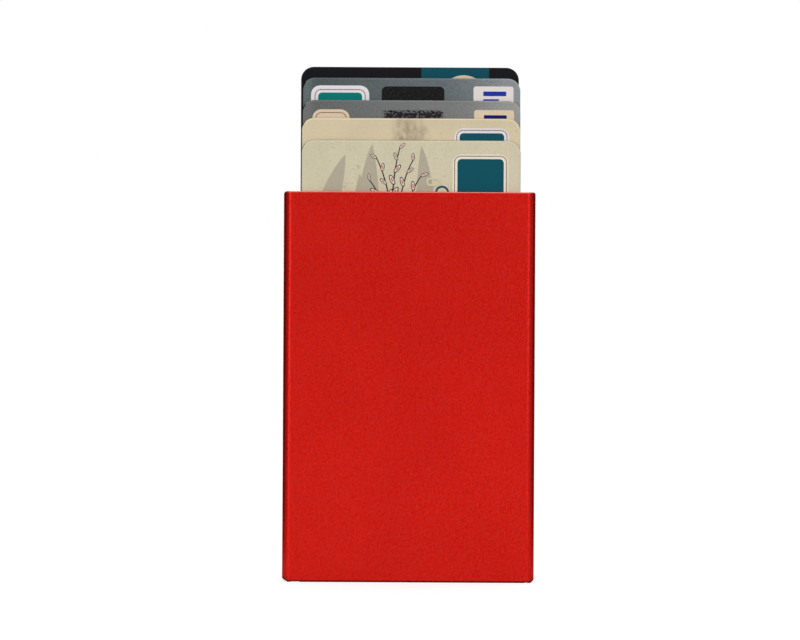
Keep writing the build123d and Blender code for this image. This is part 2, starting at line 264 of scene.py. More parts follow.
def looked_at(pen):
    """Return 1 for a ray that looks, from the camera, a mirror or glass, and 0 for the rest."""
    rays = [pen.add("ShaderNodeLightPath", output=kind) for kind in LOOKING_RAYS]
    either = pen.maths("MAXIMUM", rays[0], rays[1])
    return pen.maths("MAXIMUM", either, rays[2])


world = bpy.data.worlds.new("studio")
bpy.context.scene.world = world
pen = pen_for(world)
lit = pen.add("ShaderNodeBackground", {"Color": WHITE, "Strength": WORLD_LEVEL})
shown = pen.add("ShaderNodeBackground", {"Color": WHITE, "Strength": 1.0})
mixed = {"Fac": looked_at(pen), "Shader": lit, "Shader_001": shown}
pen.add("ShaderNodeOutputWorld", {"Surface": pen.add("ShaderNodeMixShader", mixed)})
print("world level", WORLD_LEVEL)

# %% [markdown]
# ## The floor
# The holder stands on its foot on a white sweep. The floor could be pure white light, but then
# the holder would float, so part of its white is plain paint that can hold a soft shadow. The
# rest is light that only the looking rays see, as in the world.

# %% Lay the floor
FLOOR_HALF = 2500
FLOOR_PAINT, FLOOR_GLOW = 0.42, 0.67


def stage_plane(name, corners, material):
    """Return a flat stage piece with these four corners in millimetres."""
    mesh = bpy.data.meshes.new(name)
    mesh.from_pydata([Vector(corner) * MM for corner in corners], [], [(0, 1, 2, 3)])
    mesh.materials.append(material)
    plane = linked(name, mesh)
    plane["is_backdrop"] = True
    return plane


floor_material = bpy.data.materials.new("white_sweep")
pen = pen_for(floor_material)
paint = pen.add("ShaderNodeBsdfDiffuse", {"Color": (FLOOR_PAINT,) * 3 + (1.0,)})
seen = looked_at(pen) * FLOOR_GLOW
glow = pen.add("ShaderNodeEmission", {"Color": WHITE, "Strength": seen})
total = pen.add("ShaderNodeAddShader", {"Shader": paint, "Shader_001": glow})
pen.add("ShaderNodeOutputMaterial", {"Surface": total})
signs = ((-1, -1), (1, -1), (1, 1), (-1, 1))
stage_plane("floor", [(x * FLOOR_HALF, y * FLOOR_HALF, 0) for x, y in signs], floor_material)
print("floor", 2 * FLOOR_HALF, "mm wide")

# %% [markdown]
# ## Strip lamps and dark flags
# In the photograph a bright line runs down each side of the front, one and a half millimetres
# in, and outside it the rounded edge falls to dark red. That is what a photographer gets from
# two tall strip lamps beside the lens, with dark flags beyond them. On a corner of 2 mm radius
# the line's place gives the lamp's angle: 26 degrees on the left, where the line is brighter,
# and 21 on the right. The same pair stands behind, so the back is lit as the front is. The flags
# are seen only in reflections, and darken from front to back, as the rounded edge does.

# %% Hang the lamps
STRIP_TURNS_AND_WATTS = ((-26, 1.65), (21, 1.05))
STRIP_DISTANCE, STRIP_HEIGHT, STRIP_SIZE = 800, 200, (200, 900)
TOP_PLACE, TOP_SIZE, TOP_WATTS, TOP_AIM_HEIGHT = (0, 0, 1000), (700, 500), 1.2, 60


def hang_lamp(name, place, size, watts, aim_height):
    """Hang a soft area lamp that faces a height on the object's axis."""
    data = bpy.data.lights.new(name, "AREA")
    data.shape = "RECTANGLE"
    data.size, data.size_y = size[0] * MM, size[1] * MM
    data.energy = watts
    lamp = linked(name, data)
    lamp.location = Vector(place) * MM
    aim = Vector((0, 0, aim_height)) * MM - lamp.location
    lamp.rotation_euler = aim.to_track_quat("-Z", "Y").to_euler()
    lamp.visible_camera = False


for front_turn, watts in STRIP_TURNS_AND_WATTS:
    for turn in (front_turn, 180 - front_turn):
        spin = math.radians(turn)
        place = (STRIP_DISTANCE * math.sin(spin), -STRIP_DISTANCE * math.cos(spin), STRIP_HEIGHT)
        hang_lamp(f"strip_{turn % 360}", place, STRIP_SIZE, watts, STRIP_HEIGHT)
hang_lamp("top", TOP_PLACE, TOP_SIZE, TOP_WATTS, TOP_AIM_HEIGHT)
print("lamps:", len(bpy.data.lights))

# %% Stand the flags
FLAG_PLACE, FLAG_HALF, FLAG_HEIGHT = 120, 108, 320
FLAG_DARK, FLAG_PALE = 0.1, 0.6
FLAG_FADE = (50.0, -70.0)
FLAG_LEVELS = {"left": (-1, 1.0), "right": (1, 1.35)}

for name, (side, level) in FLAG_LEVELS.items():
    flag_material = bpy.data.materials.new(f"{name}_flag")
    pen = pen_for(flag_material)
    across = parts(pen.add("ShaderNodeTexCoord", output="Object"))[1] * (1 / MM)
    tone = (fade(across, *FLAG_FADE) * (FLAG_PALE - FLAG_DARK) + FLAG_DARK) * level
    glow = pen.add("ShaderNodeEmission", {"Color": WHITE, "Strength": tone})
    pen.add("ShaderNodeOutputMaterial", {"Surface": glow})
    x, half, top = side * FLAG_PLACE, FLAG_HALF, FLAG_HEIGHT
    corners = [(x, -half, 0), (x, half, 0), (x, half, top), (x, -half, top)]
    flag = stage_plane(f"{name}_flag", corners, flag_material)
    flag.visible_camera = False
    flag.visible_diffuse = False
    flag.visible_shadow = False
print("flags at", FLAG_PLACE, "mm each side")

# %% [markdown]
# ## How every material begins and ends
# Object coordinates are metres in the part's own frame. They stay with a piece when it slides
# or turns, and the export can bake them. A finish starts by scaling them to millimetres, so a
# noise of size 0.2 really is a fifth of a millimetre. It ends in one Principled shader: what
# varies is linked, and what is the same everywhere is typed on the shader's own socket. Heights
# are millimetres too, so the Bump node's distance is one millimetre.

# %% Begin and finish a material
def begin(name):
    """Return a new material, and its Object coordinates in millimetres."""
    material = bpy.data.materials.new(name)
    place = pen_for(material).add("ShaderNodeTexCoord", output="Object")
    return material, scaled(place, 1 / MM)


def finish(place, height=None, **sockets):
    """Join a Principled shader to the output. A name such as Base_Color stands for Base Color."""
    values = {name.replace("_", " "): value for name, value in sockets.items()}
    if height is not None:
        bump = {"Height": height, "Distance": MM}
        values["Normal"] = place.add("ShaderNodeBump", bump)
    shader = place.add("ShaderNodeBsdfPrincipled", values)
    place.add("ShaderNodeOutputMaterial", {"Surface": shader})


def wear(material, *nodes):
    """Give CAD nodes their material."""
    for node in nodes:
        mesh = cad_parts[node].data
        mesh.materials.clear()
        mesh.materials.append(material)


print("one millimetre is", MM, "metres")

# %% [markdown]
# ## The anodised sleeve
# The sleeve is an extruded aluminium tube. It was blasted with glass beads, which leaves pits a
# tenth of a millimetre wide, and then anodised and dyed red. It could be painted as plastic, but
# dyed aluminium tints its reflections, so the shader is metallic with a thin clear coat for the
# oxide layer. Three sizes of grain do the work: pits for the bump, half millimetre blotches
# where the dye took unevenly, and broad clouds. The red is a little paler towards the foot. The
# rim's edge is painted pale, a painted highlight. The bore keeps the vertical lines of the
# extrusion die and is painted darker, as painted shade. The foot, with its bevelled corners,
# gets a dark edge of painted shade, so a helper gives the distance to that bevelled outline.

# %% The distance to the foot's outline
SLEEVE_HALF_WIDTH = 31.0
FOOT_BEVELS = ((-1, 1.45, 0.85), (1, 0.95, 0.75))


def foot_distance(x, z):
    """Return how far above the foot's bevelled outline a point lies, in millimetres."""
    distance = z
    for side, run, rise in FOOT_BEVELS:
        length = math.hypot(run, rise)
        from_edge = SLEEVE_HALF_WIDTH - x * side
        bevel = (z * run + from_edge * rise - run * rise) * (1 / length)
        distance = z.maths("MINIMUM", distance, bevel)
    return distance


print("bevels at the foot:", len(FOOT_BEVELS))

# %% Red anodised aluminium
BORE_WIDTH_FADE = (30.05, 29.95)
BORE_DEPTH_FADE = (3.36, 3.28)
RIM_FADE = (95.68, 95.85)
PALE_FOOT_FADE = (90.0, 12.0)
FOOT_SHADE_FADE = (0.52, 0.34)

sleeve_material, place = begin("anodised_sleeve")
x, y, z = parts(place)
pits = grain(place, 0.22, 3.0)
blotch = grain(place, 0.48, 3.0, shift=7.0)
cloud = grain(place, 18.0, 1.0, shift=3.0)
in_bore = fade(abs(y), *BORE_DEPTH_FADE) * fade(abs(x), *BORE_WIDTH_FADE)
die_lines = grain(place, 0.3, 2.0, stretch=(1, 1, 0.01), shift=11.0)
rim_highlight = fade(z, *RIM_FADE)
dye = fade(blotch * 0.88 + cloud * 0.12, 0.3, 0.7)
red = blend(dye, colour(165, 10, 4), colour(187, 22, 8))
# The red is a little paler towards the foot.
red = scaled(red, 1 + fade(z, *PALE_FOOT_FADE) * 0.13)
# Painted highlight: the rim's rounded edge is painted pale pink.
red = blend(rim_highlight * 0.7, red, colour(240, 150, 138))
# Painted shade: the bore is painted darker.
red = blend(in_bore * 0.55, red, colour(110, 8, 6))
# Painted shade: a dark band along the foot's bevelled outline.
red = blend(fade(foot_distance(x, z), *FOOT_SHADE_FADE), red, colour(84, 4, 3))
finish(
    place,
    height=(1 - in_bore) * pits * 0.010 + in_bore * die_lines * 0.02,
    Base_Color=red,
    Metallic=1.0,
    Roughness=0.32 + blotch * 0.06 - rim_highlight * 0.06 + in_bore * 0.1,
    Specular_Tint=colour(226, 120, 110),
    Coat_Weight=fade(pits, 0.35, 0.65) * 0.3,
    Coat_Roughness=0.16,
)
wear(sleeve_material, "sleeve")
print("sleeve finish has", len(sleeve_material.node_tree.nodes), "nodes")

# %% [markdown]
# ## Laminated card stock
# A bank card is a white plastic core with a printed sheet and a clear overlay on each side. Seen
# from the front, its short ends show a thin paler line, a painted highlight, and its edge shows
# the core between two darker layers. Four of the cards have a dark sliver along the left edge.
# All five are the same product in other colours, so one function makes them all. It needs each
# card's own middle, because these lines follow the rounded outline, and that outline is a
# rounded box worked out in shader maths. The raised figures of the two front cards are painted
# pale where they stand in front of the card's own face, a painted highlight, so a mask on Y finds
# them. These two also show faint marks of handling, and a line of painted shade inside the outline.

# %% The distance to a card's outline
CARD_HALF_WIDTH = 26.99
CARD_HALF_HEIGHT = 42.8
CARD_CORNER = 3.18


def edge_distance(x, z, middle_z):
    """Return how far inside a card's rounded outline a point lies, in millimetres."""
    across = abs(x) - (CARD_HALF_WIDTH - CARD_CORNER)
    along = abs(z - middle_z) - (CARD_HALF_HEIGHT - CARD_CORNER)
    outer_across = across.maths("MAXIMUM", across, 0.0)
    outer_along = along.maths("MAXIMUM", along, 0.0)
    corner = (outer_across ** 2.0 + outer_along ** 2.0) ** 0.5
    flat = across.maths("MINIMUM", across.maths("MAXIMUM", across, along), 0.0)
    return CARD_CORNER - corner - flat


print("a card is", 2 * CARD_HALF_WIDTH, "by", 2 * CARD_HALF_HEIGHT, "mm")

# %% The card stock function
LEFT_TO_MIDDLE = (-27.0, 8.0)
MIDDLE_TO_RIGHT = (8.0, 27.0)
PALE_SIDE = (-23.5, -25.8)
SLIVER_SIDE = (-25.8, -26.3)
END_HIGHLIGHT_LINE = (0.42, 0.26)
EDGE_SHADE_LINE = (0.18, 0.08)
CUT_LINE = (0.02, 0.005)
SMUDGE_FADES = ((4.0, -4.0), (-30.0, -10.0))


def card_stock(
    number, tones, core, end_highlight, speckle,
    sliver=None, pale=0.0, marks_and_edge_shade=0.0, smudge=None, tip_highlight=None, gloss=0.12,
):
    """Dress a card. Its tones are those at the left, middle and right, its core is the cut edge."""
    material, place = begin(f"card_{number}_stock")
    x, y, z = parts(place)
    x = x - card_middle[number]
    middle_z = card_top[number] - CARD_HALF_HEIGHT
    inside = edge_distance(x, z, middle_z)
    ends = fade(abs(z - middle_z), CARD_HALF_HEIGHT - 4.0, CARD_HALF_HEIGHT - 1.5)
    cloud = grain(place, 9.0, 2.0, shift=float(number))
    fleck = grain(place, 0.4, 2.0, shift=20.0 + number)
    left, middle, right = (colour(*tone) for tone in tones)
    drift = x + (cloud - 0.5) * 12
    tint = blend(fade(drift, *LEFT_TO_MIDDLE), left, middle)
    tint = blend(fade(drift, *MIDDLE_TO_RIGHT), tint, right)
    tint = scaled(tint, 1 + (fleck - 0.5) * speckle - fade(cloud, 0.4, 0.7) * 0.05)
    tint = scaled(tint, 1 + fade(x, *PALE_SIDE) * pale)
    if smudge:
        smudge_middle, half_width, tone = smudge
        streak = grain(place, 1.6, 3.0, stretch=(1, 1, 0.6), shift=41.0)
        across = abs(x - smudge_middle + (cloud - 0.5) * 6)
        near = fade(across, half_width + 1.6, half_width - 2.0)
        for start, end in SMUDGE_FADES:
            near = near * fade(z, card_top[number] + start, card_top[number] + end)
        tint = blend(near * fade(streak, 0.2, 0.75), tint, colour(*tone))
    marks = grain(place, 1.3, 5.0, stretch=(0.45, 1, 1.4), shift=52.0 + number)
    tint = scaled(tint, 1 - fade(marks, 0.64, 0.74) * marks_and_edge_shade * 0.3)
    # Painted highlight: a thin paler line along the card's short ends.
    end_highlight_mask = fade(inside, *END_HIGHLIGHT_LINE) * ends * 0.9
    printed = blend(end_highlight_mask, tint, scaled(tint, end_highlight))
    # Painted shade: a thin darker line just inside the outline, on the two front cards.
    printed = blend(fade(inside, *EDGE_SHADE_LINE) * marks_and_edge_shade, printed, shade(tones[0], 0.6))
    # A dark sliver along the left edge of four cards.
    if sliver:
        width, tone = sliver
        dark = fade(inside, width + 0.04, width - 0.04) * fade(x, *SLIVER_SIDE)
        printed = blend(dark, printed, colour(*tone))
    # Painted highlight: the raised figures are painted pale.
    if tip_highlight:
        raised = fade(y, card_front[number] - 0.28, card_front[number] - 0.4)
        printed = blend(raised * 0.8, printed, colour(*tip_highlight))
    depth = abs(y - (card_front[number] + CARD_THICKNESS / 2))
    on_side = fade(inside, *CUT_LINE) * fade(depth, 0.36, 0.3)
    face = blend(on_side, printed, colour(*core))
    scuffs = grain(place, 0.5, 3.0, stretch=(1, 1, 0.02), shift=31.0)
    finish(
        place,
        height=fleck * 0.004 + scuffs * 0.002,
        Base_Color=face,
        Roughness=0.38 + scuffs * 0.12 + on_side * 0.25,
        Specular_IOR_Level=gloss,
    )
    wear(material, f"card_{number}")
    print("card", number, "has", len(material.node_tree.nodes), "shader nodes")

# %% Dress the five cards
TIP_HIGHLIGHT = (232, 227, 212)
GREY_SLIVER = (0.26, (18, 14, 13))
CARD_LOOKS = {
    1: {
        "tones": ((218, 210, 180), (219, 210, 181), (220, 210, 182)), "core": (236, 230, 214),
        "end_highlight": 1.2, "speckle": 0.25, "sliver": (0.17, (112, 96, 82)), "marks_and_edge_shade": 0.7,
        "tip_highlight": TIP_HIGHLIGHT,
    },
    2: {
        "tones": ((223, 207, 174), (222, 206, 174), (223, 209, 175)), "core": (238, 230, 212),
        "end_highlight": 1.35, "speckle": 0.2, "sliver": (0.18, (96, 80, 68)), "marks_and_edge_shade": 0.5,
        "smudge": (-0.4, 3.8, (160, 146, 122)), "tip_highlight": TIP_HIGHLIGHT,
    },
    3: {
        "tones": ((103, 106, 105), (124, 126, 125), (158, 159, 156)), "core": (176, 178, 176),
        "end_highlight": 1.25, "speckle": 0.8, "sliver": GREY_SLIVER, "pale": 0.25,
    },
    4: {
        "tones": ((80, 90, 90), (104, 112, 115), (148, 153, 156)), "core": (170, 175, 176),
        "end_highlight": 1.3, "speckle": 0.8, "sliver": GREY_SLIVER, "pale": 0.55,
    },
    5: {
        "tones": ((17, 16, 20), (18, 17, 21), (19, 18, 22)), "core": (34, 32, 36),
        "end_highlight": 1.5, "speckle": 0.6, "gloss": 0.07,
    },
}
for number, look in CARD_LOOKS.items():
    card_stock(number, **look)
print("cards dressed:", len(CARDS))

# %% [markdown]
# ## Moulded plastics
# The end cap, the rails and the lever are injection moulded in black. Their steel moulds are
# spark eroded, which leaves a fine pebbled skin, and the plastic shows faint flow marks. A plain
# black would do from afar, but from above and below these parts are a hand's width away. One
# function with a tone and a gloss makes the nylon of the cap and rails and the slicker acetal of
# the lever, because they differ in no other way.

# %% Nylon and acetal
def moulded(name, tone, rough, spark_size):
    """Return a moulded plastic with a spark eroded skin."""
    material, place = begin(name)
    spark = grain(place, spark_size, 3.0)
    flow = grain(place, 4.0, 2.0, stretch=(1, 1, 0.3), shift=5.0)
    tint = blend(fade(flow, 0.3, 0.7), shade(tone, 0.85), shade(tone, 1.2))
    tint = blend(fade(spark, 0.5, 0.75) * 0.3, tint, shade(tone, 1.5))
    finish(
        place,
        height=spark * 0.012,
        Base_Color=tint,
        Roughness=rough + spark * 0.15,
        Specular_IOR_Level=0.4,
    )
    return material


wear(moulded("cap_nylon", (33, 32, 34), 0.5, 0.16), "end_cap")
wear(moulded("rail_nylon", (30, 30, 32), 0.48, 0.2), "left_rail", "right_rail")
wear(moulded("lever_acetal", (38, 38, 41), 0.3, 0.3), "ejector_lever")
print("moulded pieces: 4")

# %% [markdown]
# ## The rubber thumb pad
# The pad is the one part that a hand always touches. Its ribs are polished by the thumb while
# the valleys between them stay matt and hold a little dust. The ribs stand along Y, so a mask
# on Y finds their tops, and no second mesh is needed.

# %% Ribbed rubber
pad_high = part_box("thumb_pad")[1] / MM
pad_material, place = begin("pad_rubber")
x, y, z = parts(place)
skin = grain(place, 0.12, 3.0)
dust = grain(place, 0.6, 3.0, shift=9.0)
rib_top = fade(y, pad_high.y - 0.2, pad_high.y - 0.02)
rubber = blend(fade(dust, 0.45, 0.7) * (1 - rib_top) * 0.6, colour(34, 34, 35), colour(66, 63, 60))
finish(
    place,
    height=skin * 0.01,
    Base_Color=rubber,
    Roughness=0.82 - rib_top * 0.25 + skin * 0.1,
    Specular_IOR_Level=0.35,
)
wear(pad_material, "thumb_pad")
print("pad ribs end at y", round(pad_high.y, 2))

# %% [markdown]
# ## Pin and spring
# The pin was ground between wheels, so its fine rings run round its axis, which is Y. The spring
# is music wire with the long streaks of the drawing die. Both are noise that is squeezed along
# one axis, and nothing else needs to differ.

# %% Ground and drawn steel
def steel(name, tone, stretch, rough):
    """Return bright steel with fine marks squeezed along the axes."""
    material, place = begin(name)
    marks = grain(place, 0.12, 3.0, stretch=stretch)
    haze = grain(place, 1.5, 2.0, shift=4.0)
    finish(
        place,
        height=marks * 0.004,
        Base_Color=blend(marks * 0.5 + haze * 0.3, shade(tone, 0.82), shade(tone, 1.08)),
        Metallic=1.0,
        Roughness=rough + haze * 0.12,
    )
    return material


wear(steel("ground_pin", (198, 198, 200), (0.05, 1, 0.05), 0.2), "pivot_pin")
wear(steel("spring_wire", (186, 187, 190), (1, 0.3, 1), 0.24), "return_spring")
print("steel pieces: 2")

# %% [markdown]
# ## Gold contacts
# A chip's contacts are gold on nickel, rolled before plating, so they carry hairlines and the
# grease of fingers. The grooves between them are cut in the CAD solid. The edge of a real plate
# is glass epoxy, but it is buried in the card, so one finish is enough.

# %% Plate the five chips
gold_material, place = begin("gold_contacts")
hairline = grain(place, 0.06, 2.0, stretch=(1, 1, 0.03))
grease = fade(grain(place, 3.0, 2.0, shift=6.0), 0.4, 0.65)
gold = blend(hairline, colour(206, 166, 88), colour(236, 203, 128))
finish(
    place,
    height=hairline * 0.002,
    Base_Color=blend(grease * 0.25, gold, colour(190, 150, 92)),
    Metallic=1.0,
    Roughness=0.2 + grease * 0.18,
)
wear(gold_material, *[f"card_{number}_chip" for number in CARDS])
print("chips plated:", len(CARDS))

# %% [markdown]
# ## Geometry Nodes, the same pen
# Dashes round a label, husks on a stem and fibres on felt are one small shape repeated, so
# Geometry Nodes place them. A tree is built with the same Wire class. It gets named inputs for
# its sizes, so one tree draws every label's border. A drawing is made flat in millimetres, X to
# the right and Y up the card, and its last nodes stand it up on a card face, realize the
# instances and ink them. What comes out is copied to a plain mesh, because the export knows
# nothing of instances, and the carrier object is thrown away.

# %% Start and end a tree
KINDS = {float: "Float", int: "Int", tuple: "Vector"}


def new_tree(name, sizes):
    """Start a tree with named inputs and their defaults. Return it and its inputs as wires."""
    tree = bpy.data.node_groups.new(name, "GeometryNodeTree")
    inputs = {"Geometry": "Geometry"}
    inputs.update({label: KINDS[type(value)] for label, value in sizes.items()})
    inputs.update({"Place": "Vector", "Turn": "Vector", "Ink": "Material"})
    for label, kind in inputs.items():
        socket = tree.interface.new_socket(label, in_out="INPUT", socket_type="NodeSocket" + kind)
        if label in sizes:
            socket.default_value = sizes[label]
    tree.interface.new_socket("Geometry", in_out="OUTPUT", socket_type="NodeSocketGeometry")
    source = tree.nodes.new("NodeGroupInput")
    return tree, {socket.name: Wire(tree, socket) for socket in source.outputs if socket.name}


def end_tree(drawing, given):
    """Stand a drawing up at its place, realize its instances and ink it, which ends the tree."""
    stand = {"Geometry": drawing, "Translation": given["Place"], "Rotation": given["Turn"]}
    stood = drawing.add("GeometryNodeTransform", {**stand, "Scale": (MM, MM, MM)})
    real = stood.add("GeometryNodeRealizeInstances", {"Geometry": stood})
    inked = real.add("GeometryNodeSetMaterial", {"Geometry": real, "Material": given["Ink"]})
    group_output = drawing.tree.nodes.new("NodeGroupOutput")
    drawing.tree.links.new(inked.socket, group_output.inputs[0])


print("kinds of sizes:", sorted(KINDS.values()))

# %% Steps that trees share
def rectangle(width, height):
    """Add a rectangle curve."""
    kind = "GeometryNodeCurvePrimitiveQuadrilateral"
    return width.add(kind, {"Width": width, "Height": height})


def lie_flat(curve):
    """Point a curve's normals out of the card, so that what follows it lies in the card."""
    return curve.add("GeometryNodeSetCurveNormal", {"Curve": curve}, mode="Z_UP")


def rounded_loop(given, count):
    """Add a rectangle of a tree's own Width, Height and Corner, with count steps round a corner."""
    loop = rectangle(given["Width"], given["Height"])
    fillet = {"Curve": loop, "Radius": given["Corner"], "Count": count}
    return lie_flat(loop.add("GeometryNodeFilletCurve", fillet, mode="POLY"))


def points_along(curve, count):
    """Space points evenly along a curve. Return them, their normals and their rotations."""
    sockets = {"Curve": curve, "Count": count}
    spots = curve.add("GeometryNodeCurveToPoints", sockets, "Points", mode="COUNT")
    outputs = spots.socket.node.outputs
    return spots, *(Wire(curve.tree, outputs[name]) for name in ("Normal", "Rotation"))


def stand_on(points, shape, **sockets):
    """Stand a shape on each point."""
    sockets.update({"Points": points, "Instance": shape})
    return points.add("GeometryNodeInstanceOnPoints", sockets)


print("trees so far:", len(bpy.data.node_groups))

# %% Run a tree
def grow(tree, values, base=None):
    """Run a tree with these values of its inputs, and return the result as a plain mesh."""
    carrier = linked("carrier", base or bpy.data.meshes.new("carrier"))
    modifier = carrier.modifiers.new("grow", "NODES")
    modifier.node_group = tree
    for item in tree.interface.items_tree:
        if item.in_out == "INPUT" and item.name in values:
            modifier[item.identifier] = values[item.name]
    graph = bpy.context.evaluated_depsgraph_get()
    mesh = bpy.data.meshes.new_from_object(carrier.evaluated_get(graph))
    carrier.modifiers.remove(modifier)
    bpy.data.objects.remove(carrier)
    return mesh


# %% [markdown]
# ## Where a print goes
# A print is a film of ink or foil a few hundredths of a millimetre thick. It could be painted in
# the card's material, but as thin closed plates its edges stay crisp at any distance and in the
# exported model. A card has a front and a back, and on both a drawing is measured from the
# middle of the top edge: right is plus X, and down is a negative Y.

# %% The two faces of a card
SINK = 0.01


def card_face(number, side):
    """Return the values that stand a drawing up on a card's front or back."""
    plane = card_front[number] if side == "front" else card_back[number]
    spin = 0.0 if side == "front" else math.pi
    return {
        "Place": (card_middle[number] * MM, plane * MM, card_top[number] * MM),
        "Turn": (math.pi / 2, 0.0, spin),
    }


def mesh_of(shape, name):
    """Turn a drawn shape into a mesh, and free it."""
    mesh = bpy.data.meshes.new(name)
    shape.to_mesh(mesh)
    shape.free()
    return mesh


def plate(face, outline, height, film, hole=None):
    """Return a closed plate of film on a card face, from an outline drawn anticlockwise."""
    shape = bmesh.new()
    loops = []
    for drawn in [outline] + ([hole] if hole else []):
        for level in (-SINK, height):
            loops.append([shape.verts.new((*spot, level)) for spot in drawn])
    if hole:
        low_out, top_out, low_in, top_in = loops
        bands = [(low_out, top_out), (top_out, top_in), (top_in, low_in), (low_in, low_out)]
    else:
        low_out, top_out = loops
        bands = [(low_out, top_out)]
        shape.faces.new(top_out)
        shape.faces.new(low_out[::-1])
    for lower, upper in bands:
        for here in range(len(lower)):
            there = (here + 1) % len(lower)
            shape.faces.new((lower[here], lower[there], upper[there], upper[here]))
    turn = Euler(face["Turn"]).to_matrix().to_4x4()
    shape.transform(Matrix.Translation(face["Place"]) @ turn @ Matrix.Scale(MM, 4))
    mesh = mesh_of(shape, "plate")
    mesh.materials.append(film)
    return mesh


print("ink plates sink", SINK, "mm into the card")

# %% Outlines to cut plates from
def rounded(left, right, top, bottom, corner, steps=6):
    """Return a rounded box, drawn anticlockwise, between drops below the card's top edge."""
    spots = []
    left, right, low, high = left + corner, right - corner, corner - bottom, -top - corner
    centres = ((right, low), (right, high), (left, high), (left, low))
    for quarter, (x, y) in enumerate(centres):
        for step in range(steps + 1):
            angle = math.radians(90 * (quarter - 1 + step / steps))
            spots.append((x + corner * math.cos(angle), y + corner * math.sin(angle)))
    return spots


def disc(x, drop, radius, steps=40):
    """Return a circle, drawn anticlockwise."""
    turns = [2 * math.pi * step / steps for step in range(steps)]
    return [(x + radius * math.cos(turn), -drop + radius * math.sin(turn)) for turn in turns]


def leaf(foot, tip, width, bend, steps=24):
    """Return a leaf from its foot to its tip, bent sideways, drawn anticlockwise."""
    (x0, drop0), (x1, drop1) = foot, tip
    along = Vector((x1 - x0, drop0 - drop1))
    across = Vector((along.y, -along.x)).normalized()
    sides = [[], []]
    for step in range(steps + 1):
        share = step / steps
        middle = Vector((x0, -drop0)) + along * share + across * bend * math.sin(math.pi * share)
        half = width / 2 * math.sin(math.pi * share) ** 0.8
        sides[0].append(middle + across * half)
        sides[1].append(middle - across * half)
    return [tuple(spot) for spot in sides[0] + sides[1][-2:0:-1]]


print("a leaf has", len(leaf((0, 9), (0, 0), 3, 1)), "points")

# %% [markdown]
# ## Inks
# Offset ink lies in tiny dots, so up close every printed colour is slightly uneven. An ink is a
# colour, a gloss and that unevenness. Foils and worn panels have more of it, and show another
# colour through their flecks.

# %% Mix an ink
def ink(name, tone, rough=0.42, flecks=None, amount=0.25, size=0.3):
    """Return an ink or foil with fine flecks, by default of its own paler tone."""
    material, place = begin(name)
    dots = grain(place, size, 3.0, shift=2.0)
    wash = grain(place, 5.0, 2.0, shift=14.0)
    tint = blend(wash * 0.3, colour(*tone), shade(tone, 0.85))
    paler = colour(*flecks) if flecks else shade(tone, 1.12)
    finish(
        place,
        height=dots * 0.003,
        Base_Color=blend(fade(dots, 0.45, 0.7) * amount, tint, paler),
        Roughness=rough + dots * 0.1,
        Specular_IOR_Level=0.07,
    )
    return material


TEAL = ink("teal_ink", (9, 84, 99))
SEA_GREEN = ink("sea_green_ink", (0, 124, 118))
CREAM = ink("cream_ink", (247, 239, 220))
PEACH = ink("peach_ink", (228, 208, 180))
LILAC = ink("lilac_ink", (242, 235, 236))
BROWN = ink("brown_ink", (146, 108, 86))
PLUM = ink("plum_ink", (134, 108, 124))
LINE = ink("line_ink", (48, 50, 58))
SALMON = ink("salmon_ink", (216, 128, 104))
STONE = ink("stone_ink", (188, 180, 158))
BLUE = ink("blue_ink", (30, 54, 176))
NAVY = ink("navy_ink", (24, 20, 104))
SAND = ink("sand_ink", (233, 211, 181))
PEARL = ink("pearl_ink", (242, 232, 226))
BAND = ink("band_ink", (12, 78, 93))
print("inks:", len([m for m in bpy.data.materials if m.name.endswith("_ink")]))

# %% [markdown]
# ## A dashed border
# The labels have a fine dashed line inside their pale border. Geometry Nodes follow the rounded
# loop: a fillet rounds a rectangle, Curve to Points spaces the dashes evenly, and each point
# gets a flat box turned along the loop.

# %% The dashed border tree
border_sizes = {
    "Width": 12.0, "Height": 14.0, "Corner": 1.5, "Dashes": 80, "Dash": 0.5, "Line": 0.24,
    "Level": 0.06,
}
border_tree, given = new_tree("dashed_border", border_sizes)
spots, _, along = points_along(rounded_loop(given, 6), given["Dashes"])
dash_size = from_parts(spots, given["Line"], given["Level"], given["Dash"])
dash = spots.add("GeometryNodeMeshCube", {"Size": dash_size}, "Mesh")
end_tree(stand_on(spots, dash, Rotation=along), given)
print("dashed border inputs:", list(border_sizes))

# %% Lay out a label
BASE_LEVEL, FIELD_LEVEL, BAR_LEVEL = 0.015, 0.022, 0.035
LABEL_CORNER, FIELD_CORNER, BORDER_CORNER = 2.2, 1.0, 1.5
DASH_PITCH = 0.62
BAR_SHARES = (0.62, 0.36)
BAR_HEIGHT, BAR_PITCH, BAR_MARGIN = 0.8, 1.7, 1.6
BAR_CORNER, FIRST_BAR_RISE = 0.3, 2.2


